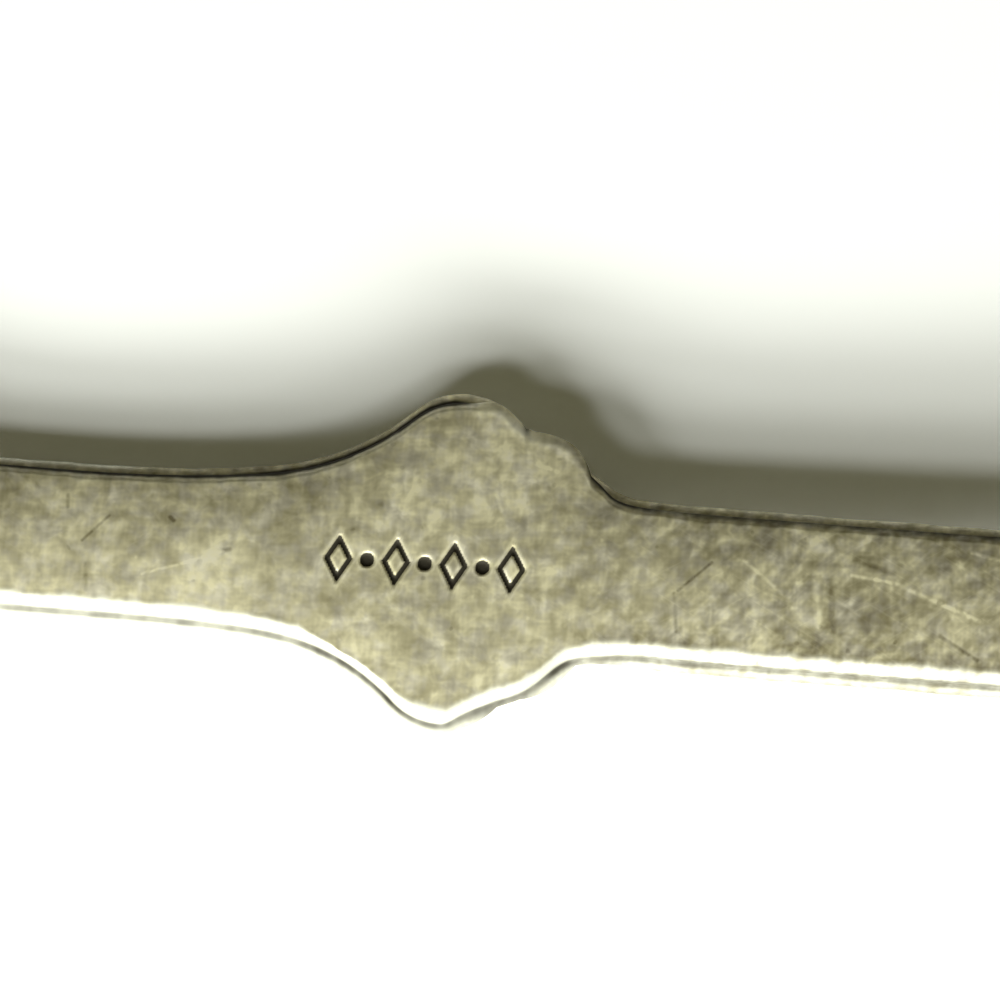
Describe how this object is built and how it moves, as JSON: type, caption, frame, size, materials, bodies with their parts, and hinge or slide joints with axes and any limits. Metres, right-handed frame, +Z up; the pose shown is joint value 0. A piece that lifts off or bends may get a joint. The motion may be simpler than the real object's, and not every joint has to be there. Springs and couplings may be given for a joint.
{
  "type": "spoon",
  "caption": "Small plated metal spoon lying face down, with an oval bowl, a flat flanged shank and a lobed ornament in mid-handle that has leaf relief on its front.",
  "frame": {"origin": "Middle of the bounding box on the table under the spoon, which lies face down.", "axes": "+X from the tip of the bowl to the end of the handle, +Y to the far side in the picture, +Z up, the way that the spoon's back faces."},
  "size_m": [0.118, 0.024, 0.0088],
  "materials": {
    "silver_plate": "worn silver plate, warm grey, satin, with fine scratches and dark specks"
  },
  "bodies": {
    "root": {"spoon": "silver_plate"}
  },
  "joints": []
}
